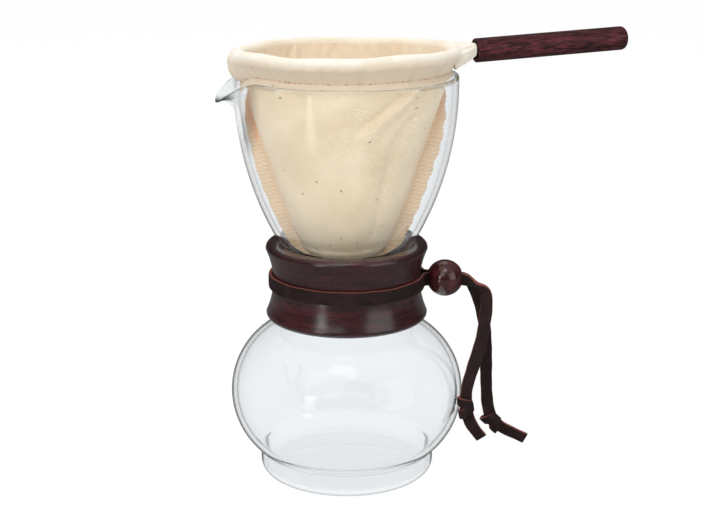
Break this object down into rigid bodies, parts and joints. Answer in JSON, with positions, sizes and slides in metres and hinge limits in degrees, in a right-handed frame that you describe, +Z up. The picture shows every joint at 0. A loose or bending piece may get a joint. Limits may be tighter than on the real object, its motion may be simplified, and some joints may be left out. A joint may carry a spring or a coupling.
{
  "type": "cloth drip coffee pot",
  "caption": "Waisted glass coffee pot with a pouring lip, a lace-tied wooden collar and a lift-out cloth filter bag on a wire ring with a wooden handle.",
  "frame": {"origin": "centre of the foot's flat underside", "axes": "+Z up along the pot's axis, +X towards the filter's handle, -X towards the pouring lip"},
  "size_m": [0.2011, 0.11, 0.2086],
  "materials": {
    "glass": "clear heat-resistant glass",
    "collar_wood": "dark wine-red gloss varnish",
    "bead_wood": "red-brown gloss varnish",
    "handle_wood": "dark wine-red gloss varnish with open grain",
    "lace": "dark brown leather",
    "wire": "plain steel wire",
    "cotton": "unbleached cotton flannel"
  },
  "bodies": {
    "pot": {"glass_foot": "glass", "glass_bulb": "glass", "glass_shoulder": "glass", "glass_neck": "glass", "glass_funnel": "glass", "collar_front": "collar_wood", "collar_rear": "collar_wood", "lace_loop": "lace"},
    "lace_bead": {"bead": "bead_wood", "lace_tail_left": "lace", "lace_knot_left": "lace", "lace_end_left": "lace", "lace_tail_right": "lace", "lace_knot_right": "lace", "lace_end_right": "lace"},
    "filter": {"wire_ring": "wire", "filter_hem": "cotton", "filter_front_panel": "cotton", "filter_rear_panel": "cotton", "seam_left": "cotton", "seam_right": "cotton"},
    "grip": {"handle": "handle_wood"}
  },
  "joints": [
    {"name": "filter_lift", "type": "slide", "parent": "pot", "child": "filter", "axis": [0, 0, 1], "range_m": [0, 0.12]},
    {"name": "handle_pull", "type": "slide", "parent": "filter", "child": "grip", "axis": [0.999, 0, 0.0454], "range_m": [0, 0.045]},
    {"name": "bead_slide", "type": "slide", "parent": "pot", "child": "lace_bead", "axis": [0.9563, -0.2924, 0], "range_m": [0, 0.008]}
  ]
}
